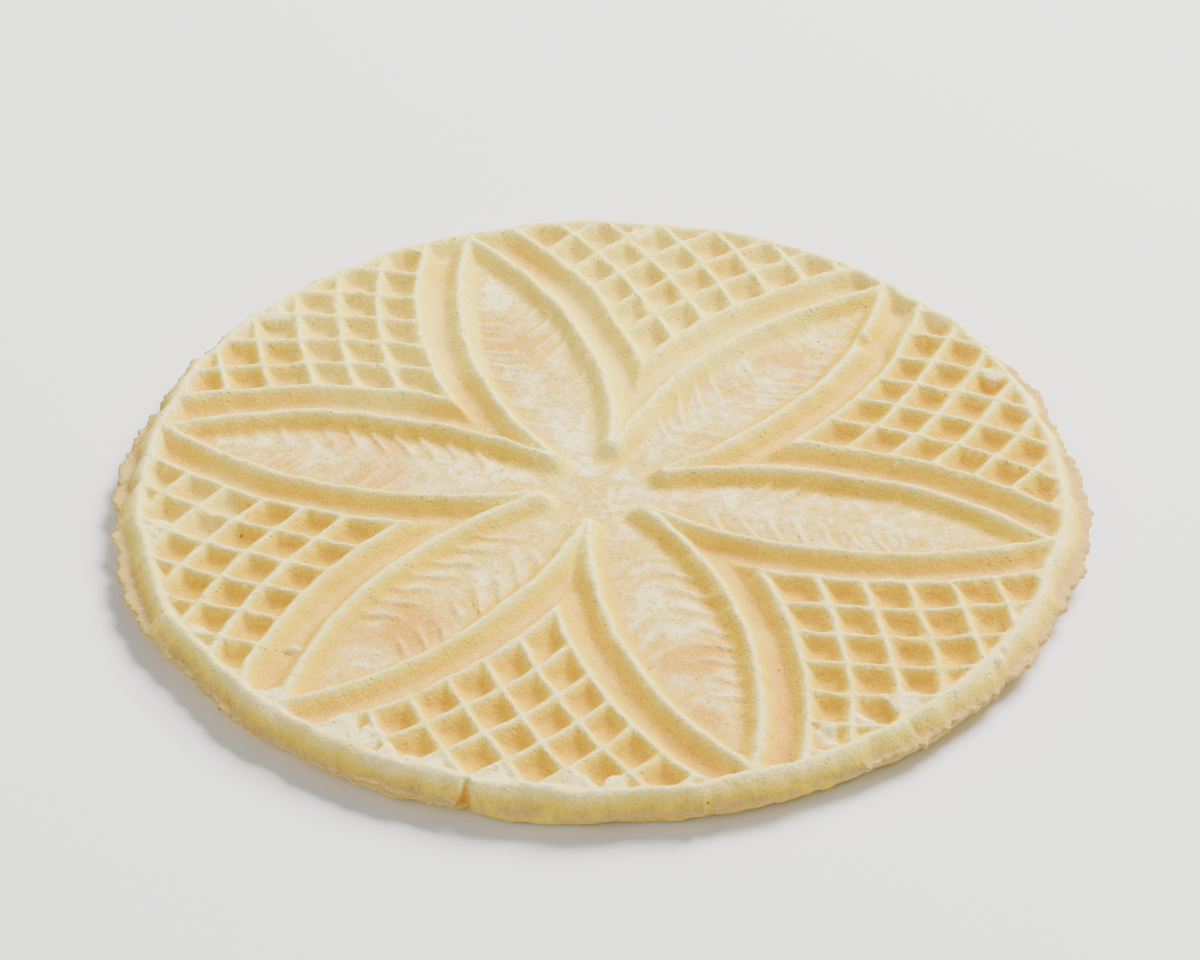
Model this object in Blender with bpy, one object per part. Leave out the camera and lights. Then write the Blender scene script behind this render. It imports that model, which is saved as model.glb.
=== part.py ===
"""Pizzelle wafer cookie: one thin pressed disc with a six-petal flower and lattice fans on both faces.

Metres, +Z up. The wafer lies on its lower crests, the origin is under its hub on the surface that it
lies on, and one petal points along +X. The two faces are mirror images about the middle plane.
"""

import math

import bmesh
import bpy
from mathutils.geometry import delaunay_2d_cdt

MM = 0.001

# Thickness, measured from the middle plane, where the two iron plates met
HALF_THICKNESS = 2.9 * MM
FLOOR_DEPTH = 2.15 * MM
PETAL_DOME = 0.3 * MM
FLASH_HALF_THICKNESS = 0.35 * MM

# Ridges: a flat crest, then a slope down to the floor
CREST_HALF_WIDTH = 0.5 * MM
SLOPE_RUN = 1.9 * MM
PIT_SLOPE_RUN = 1.75 * MM

# Flower: each petal edge is an arc of one circle, seen with the petal along +X
PETALS = 6
PETAL_ARC_RADIUS = 61.4 * MM
PETAL_ARC_X = 29.7 * MM
PETAL_ARC_Y = -53.2 * MM
HUB_RADIUS = 8.5 * MM
SPINE_START = 12.0 * MM
SPINE_END = 50.0 * MM

# Lattice fans between the petals, bordered by arcs about the same centres. The ridges of a fan are
# copies of one arc and of its mirror image, which both leave a start point on the fan's axis.
CHANNEL_PITCH = 5.96 * MM
LATTICE_PITCH = 5.79 * MM
LATTICE_ARC_RADIUS = 81.5 * MM
LATTICE_START = 29.6 * MM
LATTICE_ANGLE = math.radians(59.2)
LATTICE_CELLS = 8
SMALLEST_PIT = 0.75 * MM
SHALLOW_PIT_RUN = 0.8  # share of a small pit's half width that its slopes take up

# Rim: crest, rounded shoulder and the torn flash that squeezed out between the plates
RIM_INNER_RADIUS = 60.3 * MM
RIM_OUTER_RADIUS = 61.9 * MM
SHOULDER_RADIUS = 63.0 * MM
SHOULDER_DROP = 1.0 * MM
BODY_RADIUS = 63.6 * MM
BODY_EDGE_HEIGHT = 0.6 * MM
FLASH_RADIUS = 64.3 * MM
FLASH_TONGUES = (  # direction and spread in degrees, extra reach
    (5, 14, 0.9 * MM),
    (62, 9, 0.4 * MM),
    (128, 12, 0.5 * MM),
    (205, 24, 0.9 * MM),
    (318, 10, 0.6 * MM),
)
TEAR_DIRECTION = 267
TEAR_HALF_ANGLE = 1.2
TEAR_CLEARANCE = 1.5  # in half angles, kept free of the rim's other corners
TEAR_DEPTH = 1.7 * MM

ARC_STEPS = 9
HUB_STEPS = 2
SPINE_STEPS = 6
RIM_STEPS = 90
HALVINGS = 20

SECTOR = 2 * math.pi / PETALS
WAFER_COLOUR = (0.80, 0.64, 0.36, 1.0)
WAFER_ROUGHNESS = 0.75


def clear_scene():
    for obj in list(bpy.data.objects):
        bpy.data.objects.remove(obj, do_unlink=True)


def turned(points, angle):
    """Plan points turned about the hub."""
    c = math.cos(angle)
    s = math.sin(angle)
    return [(c * x - s * y, s * x + c * y) for x, y in points]


def mirrored(points):
    """Plan points mirrored in the X axis, in reverse order, so that an outline can go on through them."""
    return [(x, -y) for x, y in reversed(points)]


def spread(start, end, steps):
    return [start + (end - start) * i / steps for i in range(steps + 1)]


def petal_arc(radius, start, end, steps):
    """Points of a circle about the petal arc's centre, from one angle to another."""
    return [
        (PETAL_ARC_X + radius * math.cos(a), PETAL_ARC_Y + radius * math.sin(a))
        for a in spread(start, end, steps)
    ]


def angle_at_axis(radius):
    """Angle on the petal arc's circle where it meets the petal's own axis, at the tip."""
    return math.asin(-PETAL_ARC_Y / radius)


def angle_at_distance(radius, distance):
    """Angle on the petal arc's circle where it lies at a distance from the hub, on the petal's side."""
    centre_distance = math.hypot(PETAL_ARC_X, PETAL_ARC_Y)
    centre_angle = math.atan2(PETAL_ARC_Y, PETAL_ARC_X)
    cosine = (distance**2 - centre_distance**2 - radius**2) / (2 * centre_distance * radius)
    return centre_angle + math.acos(cosine)


def angle_at_fan_axis(radius):
    """Angle on the petal arc's circle where it meets the line halfway to the next petal."""
    across = PETAL_ARC_X * math.sin(SECTOR / 2) - PETAL_ARC_Y * math.cos(SECTOR / 2)
    return SECTOR / 2 + math.asin(across / radius)


def flower_outline(inset, hub_radius):
    """The hub and the six petal hollows as one closed outline, at an inset from the petal crest lines."""
    radius = PETAL_ARC_RADIUS - inset
    hub_side = angle_at_distance(radius, hub_radius)
    edge = petal_arc(radius, angle_at_axis(radius), hub_side, ARC_STEPS)
    x, y = edge[-1]
    hub_angle = math.atan2(y, x)
    around_hub = [
        (hub_radius * math.cos(a), hub_radius * math.sin(a))
        for a in spread(hub_angle, SECTOR - hub_angle, HUB_STEPS)
    ]
    petal = mirrored(edge)[:-1] + edge + around_hub[1:-1]
    outline = []
    for i in range(PETALS):
        outline += turned(petal, i * SECTOR)
    return outline


def channel_outline(inset, rim_radius):
    """The V-shaped channel between two petals and their lattice fan, with the fan's axis along +X."""
    near = PETAL_ARC_RADIUS + inset
    far = PETAL_ARC_RADIUS + CHANNEL_PITCH - inset
    ends = [angle_at_distance(radius, rim_radius) for radius in (near, far)]
    inner = petal_arc(near, angle_at_fan_axis(near), ends[0], ARC_STEPS)
    outer = petal_arc(far, ends[1], angle_at_fan_axis(far), ARC_STEPS)
    half = turned(inner + outer, -SECTOR / 2)
    return half + mirrored(half)[1:-1]


def net_point(i, j):
    """Where lattice ridges i and j cross, with the fan's axis along +X. Fractions lie between ridges."""
    a = LATTICE_ANGLE - i * LATTICE_PITCH / LATTICE_ARC_RADIUS
    b = LATTICE_ANGLE - j * LATTICE_PITCH / LATTICE_ARC_RADIUS
    along = math.cos(a) + math.cos(b) - 2 * math.cos(LATTICE_ANGLE)
    return LATTICE_START + LATTICE_ARC_RADIUS * along, LATTICE_ARC_RADIUS * (math.sin(a) - math.sin(b))


def past_border(x, y):
    """How far a point of the fan lies inside the fan's curved border."""
    (centre_x, centre_y), = turned([(PETAL_ARC_X, PETAL_ARC_Y)], -SECTOR / 2)
    return math.hypot(x - centre_x, -abs(y) - centre_y) - PETAL_ARC_RADIUS - CHANNEL_PITCH


def bisected(low, high, is_low):
    """The value between two bounds where a condition that holds at the low one stops holding."""
    for _ in range(HALVINGS):
        middle = (low + high) / 2
        if is_low(middle):
            low = middle
        else:
            high = middle
    return low


def fan_node(i, j):
    """Crossing of lattice ridges i and j. Ridge 0 of both families is the fan's border."""
    if i == j == 0:
        return bisected(0.0, RIM_INNER_RADIUS, lambda x: past_border(x, 0.0) < 0), 0.0
    if i == 0:
        x, y = fan_node(j, i)
        return x, -y
    if j == 0:
        return net_point(i, bisected(-1.0, 1.0, lambda t: past_border(*net_point(i, t)) < 0))
    return net_point(i, j)


def kept_side(points, normal, limit):
    """The part of a convex outline where its distance along a normal stays under a limit."""
    kept = []
    for (ax, ay), (bx, by) in zip(points, points[1:] + points[:1]):
        a = ax * normal[0] + ay * normal[1] - limit
        b = bx * normal[0] + by * normal[1] - limit
        if a <= 0:
            kept.append((ax, ay))
        if a * b < 0:
            t = a / (a - b)
            kept.append((ax + t * (bx - ax), ay + t * (by - ay)))
    return kept


def inset_outline(points, distance):
    """A convex counterclockwise outline with every side moved inwards, or an empty list."""
    result = points
    for (ax, ay), (bx, by) in zip(points, points[1:] + points[:1]):
        length = math.hypot(bx - ax, by - ay)
        normal = ((by - ay) / length, (ax - bx) / length)
        result = kept_side(result, normal, ax * normal[0] + ay * normal[1] - distance)
    return result


def largest_inset(points):
    """How far a convex outline can be inset before nothing is left."""
    return bisected(0.0, LATTICE_PITCH, lambda inset: len(inset_outline(points, inset)) > 2)


def fan_pits():
    """Each pit of the lattice fan along +X, as its upper outline, its bottom outline and its depth."""
    pits = []
    for i in range(LATTICE_CELLS):
        for j in range(LATTICE_CELLS):
            cell = [fan_node(i, j), fan_node(i + 1, j), fan_node(i + 1, j + 1), fan_node(i, j + 1)]
            middle_x = sum(x for x, y in cell) / 4
            middle_y = sum(y for x, y in cell) / 4
            distance = math.hypot(middle_x, middle_y)
            outwards = (middle_x / distance, middle_y / distance)
            mouth = inset_outline(cell, CREST_HALF_WIDTH)
            mouth = kept_side(mouth, outwards, RIM_INNER_RADIUS)
            if len(mouth) < 3 or largest_inset(mouth) < SMALLEST_PIT:
                continue
            run = min(PIT_SLOPE_RUN, SHALLOW_PIT_RUN * largest_inset(mouth))
            depth = FLOOR_DEPTH * run / PIT_SLOPE_RUN
            pits.append((mouth, inset_outline(mouth, run), depth))
    return pits


def rim_angles():
    """Directions of the rim's corners: evenly spaced, with three more at the tear."""
    even = [2 * math.pi * i / RIM_STEPS for i in range(RIM_STEPS)]
    tear = [math.radians(TEAR_DIRECTION + t * TEAR_HALF_ANGLE) for t in (-1, 0, 1)]
    clearance = TEAR_CLEARANCE * (tear[1] - tear[0])
    clear_of_tear = [a for a in even if abs(a - tear[1]) > clearance]
    return sorted(clear_of_tear + tear)


def flash_reach(angle):
    """Distance from the hub to the torn edge of the flash."""
    degrees = math.degrees(angle)
    reach = FLASH_RADIUS
    for direction, spread_degrees, extra in FLASH_TONGUES:
        away = (degrees - direction + 180) % 360 - 180
        reach += extra * math.exp(-((away / spread_degrees) ** 2))
    if abs(degrees - TEAR_DIRECTION) < TEAR_HALF_ANGLE / 2:
        reach -= TEAR_DEPTH
    return reach


def ring(radius):
    return [(radius * math.cos(a), radius * math.sin(a)) for a in rim_angles()]


def face_outlines():
    """Every outline of one face inside the rim, with its height above the middle plane."""
    crest = HALF_THICKNESS
    floor = HALF_THICKNESS - FLOOR_DEPTH
    foot = CREST_HALF_WIDTH + SLOPE_RUN
    outlines = [
        (ring(RIM_OUTER_RADIUS), crest),
        (flower_outline(CREST_HALF_WIDTH, HUB_RADIUS), crest),
        (flower_outline(foot, HUB_RADIUS - SLOPE_RUN), floor),
    ]
    upper_channel = channel_outline(CREST_HALF_WIDTH, RIM_INNER_RADIUS)
    lower_channel = channel_outline(foot, RIM_INNER_RADIUS - SLOPE_RUN)
    pits = fan_pits()
    for i in range(PETALS):
        angle = (i + 0.5) * SECTOR
        outlines.append((turned(upper_channel, angle), crest))
        outlines.append((turned(lower_channel, angle), floor))
        for mouth, bottom, depth in pits:
            outlines.append((turned(mouth, angle), crest))
            outlines.append((turned(bottom, angle), crest - depth))
    return outlines


def petal_spines():
    """The gently raised middle line of each petal."""
    height = HALF_THICKNESS - FLOOR_DEPTH + PETAL_DOME
    line = [(x, 0.0) for x in spread(SPINE_START, SPINE_END, SPINE_STEPS)]
    return [(turned(line, i * SECTOR), height) for i in range(PETALS)]


def face_plan():
    """Corners (x, y, height) and triangles of one face inside the rim. The rim ring's corners come first."""
    points = []
    heights = []
    edges = []
    for outline, height in face_outlines():
        first = len(points)
        points += outline
        heights += [height] * len(outline)
        edges += [(first + n, first + (n + 1) % len(outline)) for n in range(len(outline))]
    for line, height in petal_spines():
        first = len(points)
        points += line
        heights += [height] * len(line)
        edges += [(first + n, first + n + 1) for n in range(len(line) - 1)]
    in_mm = [(x / MM, y / MM) for x, y in points]
    _, _, triangles, sources, _, _ = delaunay_2d_cdt(in_mm, edges, [], 0, 1e-4)
    if any(len(source) != 1 for source in sources):
        raise ValueError("two outlines of the face cross or touch")
    corners = [(x, y, h) for (x, y), h in zip(points, heights)]
    return corners, [[sources[n][0] for n in triangle] for triangle in triangles]


def wafer_mesh():
    """Both faces from one plan, joined round the rim's shoulder and flash."""
    corners, triangles = face_plan()
    angles = rim_angles()
    shoulder = HALF_THICKNESS - SHOULDER_DROP
    bands = [
        [(x, y, shoulder) for x, y in ring(SHOULDER_RADIUS)],
        [(x, y, BODY_EDGE_HEIGHT) for x, y in ring(BODY_RADIUS)],
        [
            (flash_reach(a) * math.cos(a), flash_reach(a) * math.sin(a), FLASH_HALF_THICKNESS)
            for a in angles
        ],
    ]
    mesh = bmesh.new()
    rims = []
    for side in (1, -1):
        verts = [mesh.verts.new((x, y, HALF_THICKNESS + side * h)) for x, y, h in corners]
        for triangle in triangles:
            mesh.faces.new([verts[n] for n in triangle])
        rings = [verts[: len(angles)]]
        for band in bands:
            rings.append([mesh.verts.new((x, y, HALF_THICKNESS + side * h)) for x, y, h in band])
        rims += rings if side == 1 else reversed(rings)
    for inner, outer in zip(rims, rims[1:]):
        for n in range(len(angles)):
            after = (n + 1) % len(angles)
            mesh.faces.new((inner[n], outer[n], outer[after], inner[after]))
    bmesh.ops.recalc_face_normals(mesh, faces=mesh.faces)
    data = bpy.data.meshes.new("wafer")
    mesh.to_mesh(data)
    mesh.free()
    return data


def wafer_material():
    material = bpy.data.materials.new("baked_wafer")
    material.use_nodes = True
    shader = material.node_tree.nodes["Principled BSDF"]
    shader.inputs["Base Color"].default_value = WAFER_COLOUR
    shader.inputs["Roughness"].default_value = WAFER_ROUGHNESS
    shader.inputs["Metallic"].default_value = 0.0
    return material


def build_wafer():
    wafer = bpy.data.objects.new("wafer", wafer_mesh())
    wafer.data.materials.append(wafer_material())
    bpy.context.scene.collection.objects.link(wafer)
    return wafer


clear_scene()
build_wafer()
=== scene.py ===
"""Pizzelle wafer cookie: one sculpted, baked surface with its crumbs, on a plain studio floor.

Lengths in the property groups are metres. The sculpting functions work in millimetres on the cookie's
plan, with the hub at the origin and one petal along +X. Each use of noise adds its own number to the seed.
The tables of placed details are given one by one, and not every detail in them was seen on a real cookie.
"""

import math

import bpy
import numpy as np
from bpy.props import FloatProperty, FloatVectorProperty, IntProperty, PointerProperty
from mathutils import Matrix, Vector


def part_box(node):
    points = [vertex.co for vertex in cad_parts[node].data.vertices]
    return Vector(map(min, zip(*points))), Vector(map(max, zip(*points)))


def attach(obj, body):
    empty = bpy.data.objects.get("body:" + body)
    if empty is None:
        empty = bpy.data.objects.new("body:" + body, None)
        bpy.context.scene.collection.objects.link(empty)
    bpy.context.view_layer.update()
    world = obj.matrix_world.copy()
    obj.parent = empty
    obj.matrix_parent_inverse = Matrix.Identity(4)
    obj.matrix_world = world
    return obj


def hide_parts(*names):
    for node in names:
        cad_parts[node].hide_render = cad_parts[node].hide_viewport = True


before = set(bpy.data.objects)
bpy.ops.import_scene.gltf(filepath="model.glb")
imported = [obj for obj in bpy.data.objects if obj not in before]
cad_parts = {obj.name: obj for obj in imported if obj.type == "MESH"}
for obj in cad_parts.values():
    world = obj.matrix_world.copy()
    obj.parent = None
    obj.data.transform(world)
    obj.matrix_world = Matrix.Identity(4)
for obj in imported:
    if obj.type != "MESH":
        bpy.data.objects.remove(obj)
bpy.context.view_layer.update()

bl_info = {
    "name": "Pizzelle Wafer Cookie",
    "version": (1, 0, 0),
    "blender": (4, 5, 0),
    "location": "3D View > Sidebar > Pizzelle",
    "description": "Builds a pressed wafer cookie with a petal flower, lattice fans and a torn flash",
    "category": "Object",
}

MM = 0.001
LOW_CORNER, HIGH_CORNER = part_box("wafer")
THICKNESS = (HIGH_CORNER.z - LOW_CORNER.z) / MM
MIDDLE = THICKNESS / 2

PETALS = 6
SECTOR = 2 * math.pi / PETALS
COOKIE_MATERIAL = "Baked wafer"

# Batter that overflowed into the pattern: direction in degrees, distance, size and rise in mm
OVERFLOWS = (
    (249.0, 58.7, 1.9, 1.8),
    (252.5, 58.8, 2.3, 1.7),
    (256.0, 59.7, 1.5, 1.6),
    (258.6, 59.6, 1.3, 1.2),
    (261.6, 59.4, 1.5, 1.5),
    (270.0, 60.0, 2.2, 1.3),
    (279.5, 59.6, 2.2, 1.3),
    (283.5, 60.0, 1.6, 1.1),
    (311.0, 58.6, 1.7, 1.0),
    (316.5, 58.4, 1.6, 1.1),
    (322.0, 58.8, 2.0, 1.5),
    (238.0, 59.8, 1.5, 1.1),
    (222.0, 59.4, 1.4, 1.0),
    (201.0, 59.2, 1.8, 1.2),
    (152.0, 59.6, 1.8, 1.1),
    (96.0, 59.4, 1.6, 1.0),
    (36.0, 59.6, 1.5, 0.9),
)
# Toasted patches: direction in degrees, distance and size in mm, strength
TOASTED = (
    (121.0, 35.5, 5.4, 0.70),
    (131.0, 25.5, 2.6, 0.60),
    (60.5, 39.0, 3.6, 0.75),
    (53.5, 37.0, 2.4, 0.60),
    (64.0, 30.0, 3.6, 0.40),
    (172.5, 31.0, 3.4, 0.80),
    (175.0, 36.5, 2.6, 0.60),
    (186.5, 30.0, 4.6, 0.60),
    (183.0, 44.0, 4.0, 0.40),
    (241.0, 37.8, 5.0, 1.00),
    (236.0, 42.0, 3.0, 0.60),
    (243.0, 53.0, 3.0, 0.40),
    (300.5, 37.2, 4.6, 0.95),
    (297.4, 48.0, 2.8, 0.95),
    (309.5, 51.0, 5.0, 1.00),
    (304.5, 58.5, 4.5, 1.00),
    (312.0, 43.0, 5.0, 0.70),
    (284.0, 42.0, 5.5, 0.50),
    (293.0, 55.0, 5.0, 0.80),
    (232.0, 56.0, 3.0, 0.50),
    (318.0, 30.0, 4.0, 0.35),
    (150.0, 38.0, 6.0, 0.40),
)
# Loose pale crumbs: direction in degrees, distance and size in mm
CRUMBS = (
    (231.8, 51.0, 0.8), (336.1, 62.4, 0.7), (338.0, 61.9, 0.4), (120.0, 41.0, 0.4), (18.0, 40.0, 0.35),
)
# The torn flash: direction and spread in degrees, extra reach in mm
FLASH_TONGUES = (
    (4.0, 13.0, 1.9),
    (34.0, 6.0, 0.8),
    (62.0, 8.0, 0.9),
    (95.0, 12.0, 0.5),
    (128.0, 12.0, 0.9),
    (160.0, 9.0, 0.6),
    (185.0, 11.0, 1.2),
    (212.0, 15.0, 1.6),
    (238.0, 6.0, 0.8),
    (335.0, 9.0, 1.2),
)
# Where a ridge was dragged aside: direction in degrees, distance, size and shift in mm
KINKS = (
    (49.4, 48.0, 2.2, 0.9),
    (52.0, 51.5, 2.0, -0.7),
    (232.0, 57.0, 3.0, 0.6),
    (172.0, 44.0, 4.0, 0.5),
    (95.0, 38.0, 4.0, -0.5),
)
# Where a crest broke off: direction in degrees, distance, size and drop in mm
BREAKS = (
    (52.5, 49.2, 1.4, 1.4),
    (177.2, 57.8, 0.9, 1.1),
)
# In degrees: where the edge is torn, where it steps, and where the rim is whitest
TEAR_DIRECTION = 266.4
STEP_DIRECTION = 320.4
WHITE_RIM_DIRECTION = 248.0
WARM_DIRECTION = math.radians(-55.0)
# Added to the seed for the underside, so that its unevenness differs from the upper face's
UNDERSIDE_SEED = 500
# Gap in mm left under the lowest crest before thinning out, which moves points by about as much
CLEARANCE = 0.02
# Keeps the streaks of a petal's two halves apart in the noise
HALF_PETAL_SHIFT = 70
# Half the side of the square floor, in m
FLOOR_HALF_SIZE = 8.0
WORLD_STRENGTH = 0.44
# Name, azimuth and elevation in degrees, distance and size in m, power in W, colour
SOFTBOXES = (
    ("back_softbox", (152.0, 46.0), 1.1, 0.6, 47.0, (1.0, 0.98, 0.95)),
    ("front_softbox", (330.0, 40.0), 1.3, 0.9, 6.0, (1.0, 0.98, 0.96)),
)


class WaferShape(bpy.types.PropertyGroup):
    """Sizes of the pressed pattern and of its unevenness."""

    petal_arc_radius: FloatProperty(
        name="Petal Arc", description="Radius of the arc that each petal edge follows",
        default=61.4 * MM, min=0.0, unit="LENGTH")
    petal_arc_x: FloatProperty(
        name="Arc Centre Along", description="Centre of that arc, along the petal",
        default=29.7 * MM, unit="LENGTH")
    petal_arc_y: FloatProperty(
        name="Arc Centre Across", description="Centre of that arc, across the petal",
        default=-53.2 * MM, unit="LENGTH")
    hub_radius: FloatProperty(
        name="Hub", description="Radius at which the merged ridges stop short of the middle",
        default=8.6 * MM, min=0.0, unit="LENGTH")
    channel_width: FloatProperty(
        name="Channel", description="From a petal's crest to the crest that borders the lattice",
        default=5.96 * MM, min=0.0, unit="LENGTH")
    lattice_pitch: FloatProperty(
        name="Lattice Pitch", description="Distance between two ridges of the lattice",
        default=5.79 * MM, min=0.001, unit="LENGTH")
    lattice_arc_radius: FloatProperty(
        name="Lattice Arc", description="Radius of the arcs that the lattice ridges follow",
        default=81.5 * MM, min=0.001, unit="LENGTH")
    lattice_start: FloatProperty(
        name="Lattice Start", description="Where the lattice's net begins, along the fan's axis",
        default=29.6 * MM, unit="LENGTH")
    lattice_angle: FloatProperty(
        name="Lattice Angle", description="Angle on their arcs at which the lattice ridges begin",
        default=math.radians(59.2), subtype="ANGLE")
    floor_depth: FloatProperty(
        name="Floor Depth", description="Depth of the petals, the channels and the pits",
        default=2.15 * MM, min=0.0, unit="LENGTH")
    rim_radius: FloatProperty(
        name="Rim", description="Radius of the rim's crest",
        default=61.3 * MM, min=0.0, unit="LENGTH")
    flash_radius: FloatProperty(
        name="Flash", description="Usual radius of the thin torn edge",
        default=63.5 * MM, min=0.0, unit="LENGTH")
    wrinkle_height: FloatProperty(
        name="Wrinkles", description="Height of the feathered wrinkles inside the petals",
        default=0.33 * MM, min=0.0, unit="LENGTH")
    unevenness: FloatProperty(
        name="Unevenness", description="How far crests and outlines wander from the iron's pattern",
        default=1.0, min=0.0, max=3.0)
    ring_count: IntProperty(
        name="Rings", description="Rings of points from the hub to the torn edge, before thinning out",
        default=208, min=12, max=400)
    triangle_limit: IntProperty(
        name="Triangles", description="Triangles that are kept after thinning out",
        default=196000, min=1000)
    seed: IntProperty(name="Seed", description="Seed of all unevenness", default=11)


class WaferColours(bpy.types.PropertyGroup):
    """Colours of the baked surface."""

    # Crest, slope and pit colours are laid on by depth: the pale crests and the golden darkening down the slopes and
    # into the pits are partly baked colour and partly painted light and shade.
    crest: FloatVectorProperty(
        name="Crest", description="Pale dry batter on the crests", subtype="COLOR",
        default=(0.90, 0.81, 0.23), min=0.0, max=1.0)
    white: FloatVectorProperty(
        name="White", description="Whitest grains of dry batter", subtype="COLOR",
        default=(0.94, 0.86, 0.48), min=0.0, max=1.0)
    floor: FloatVectorProperty(
        name="Floor", description="Tan batter between the pale spots of the hub and the petals", subtype="COLOR",
        default=(0.70, 0.475, 0.050), min=0.0, max=1.0)
    slope: FloatVectorProperty(
        name="Slope", description="Golden batter on the slopes and in the pits", subtype="COLOR",
        default=(0.82, 0.585, 0.012), min=0.0, max=1.0)
    pit: FloatVectorProperty(
        name="Pit", description="Deeper golden batter at the bottom of the pits", subtype="COLOR",
        default=(0.72, 0.45, 0.006), min=0.0, max=1.0)
    toast: FloatVectorProperty(
        name="Toast", description="Browner, pinkish patches where the iron pressed hardest",
        subtype="COLOR", default=(0.66, 0.32, 0.020), min=0.0, max=1.0)
    flash: FloatVectorProperty(
        name="Flash", description="Drier, browner batter of the thin torn edge", subtype="COLOR",
        default=(0.53, 0.37, 0.13), min=0.0, max=1.0)
    speck: FloatVectorProperty(
        name="Specks", description="Dark specks and burst bubbles", subtype="COLOR",
        default=(0.30, 0.11, 0.02), min=0.0, max=1.0)


class StudioSettings(bpy.types.PropertyGroup):
    """The stage, its lights and the camera."""

    floor_colour: FloatVectorProperty(
        name="Floor", description="Colour of the studio floor", subtype="COLOR",
        default=(0.80, 0.80, 0.80), min=0.0, max=1.0)
    camera_azimuth: FloatProperty(
        name="Azimuth", description="Direction of the camera round the cookie",
        default=math.radians(11.8), subtype="ANGLE")
    camera_elevation: FloatProperty(
        name="Elevation", description="Height of the camera above the cookie's plane",
        default=math.radians(37.7), subtype="ANGLE")
    camera_distance: FloatProperty(
        name="Distance", description="From the camera to the hub", default=0.547, min=0.05,
        unit="LENGTH")
    lens: FloatProperty(
        name="Lens", description="Focal length in mm on a 36 mm sensor", default=123.0, min=10.0)


# ---------------------------------------------------------------- sculpting helpers (millimetres)

def soft_min(a, b, width):
    """The smaller of two depths, rounded over where they cross."""
    mix = np.clip(0.5 + 0.5 * (b - a) / width, 0.0, 1.0)
    return b + (a - b) * mix - width * mix * (1.0 - mix)


def smooth_step(low, high, value):
    t = np.clip((value - low) / (high - low), 0.0, 1.0)
    return t * t * (3.0 - 2.0 * t)


def noise(x, y, size, seed):
    """Smooth noise from -1 to 1 with features of one size."""
    table = np.random.default_rng(seed).uniform(-1.0, 1.0, (256, 256))
    u = x / size + 71.3
    v = y / size + 37.9
    i = np.floor(u).astype(int)
    j = np.floor(v).astype(int)
    s = u - i
    t = v - j
    s = s * s * s * (s * (s * 6 - 15) + 10)
    t = t * t * t * (t * (t * 6 - 15) + 10)

    def corner(di, dj):
        return table[(i + di) % 256, (j + dj) % 256]

    low = corner(0, 0) * (1 - s) + corner(1, 0) * s
    high = corner(0, 1) * (1 - s) + corner(1, 1) * s
    return low * (1 - t) + high * t


def layered_noise(x, y, size, seed, layers=3):
    """Noise with finer, weaker noise added."""
    total = 0.0
    for n in range(layers):
        total = total + 0.5**n * noise(x, y, size / 2.1**n, seed + 31 * n)
    return total


def angle_off(angle, direction):
    """Signed difference in degrees between angles and one direction."""
    return (np.degrees(angle) - direction + 180.0) % 360.0 - 180.0


def place(direction, distance):
    """Plan position of a detail, from its direction in degrees and its distance from the hub."""
    return distance * math.cos(math.radians(direction)), distance * math.sin(math.radians(direction))


def away_from(x, y, direction, distance):
    """Distance of plan positions from a detail."""
    px, py = place(direction, distance)
    return np.hypot(x - px, y - py)


# ---------------------------------------------------------------- the pressed pattern

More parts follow.
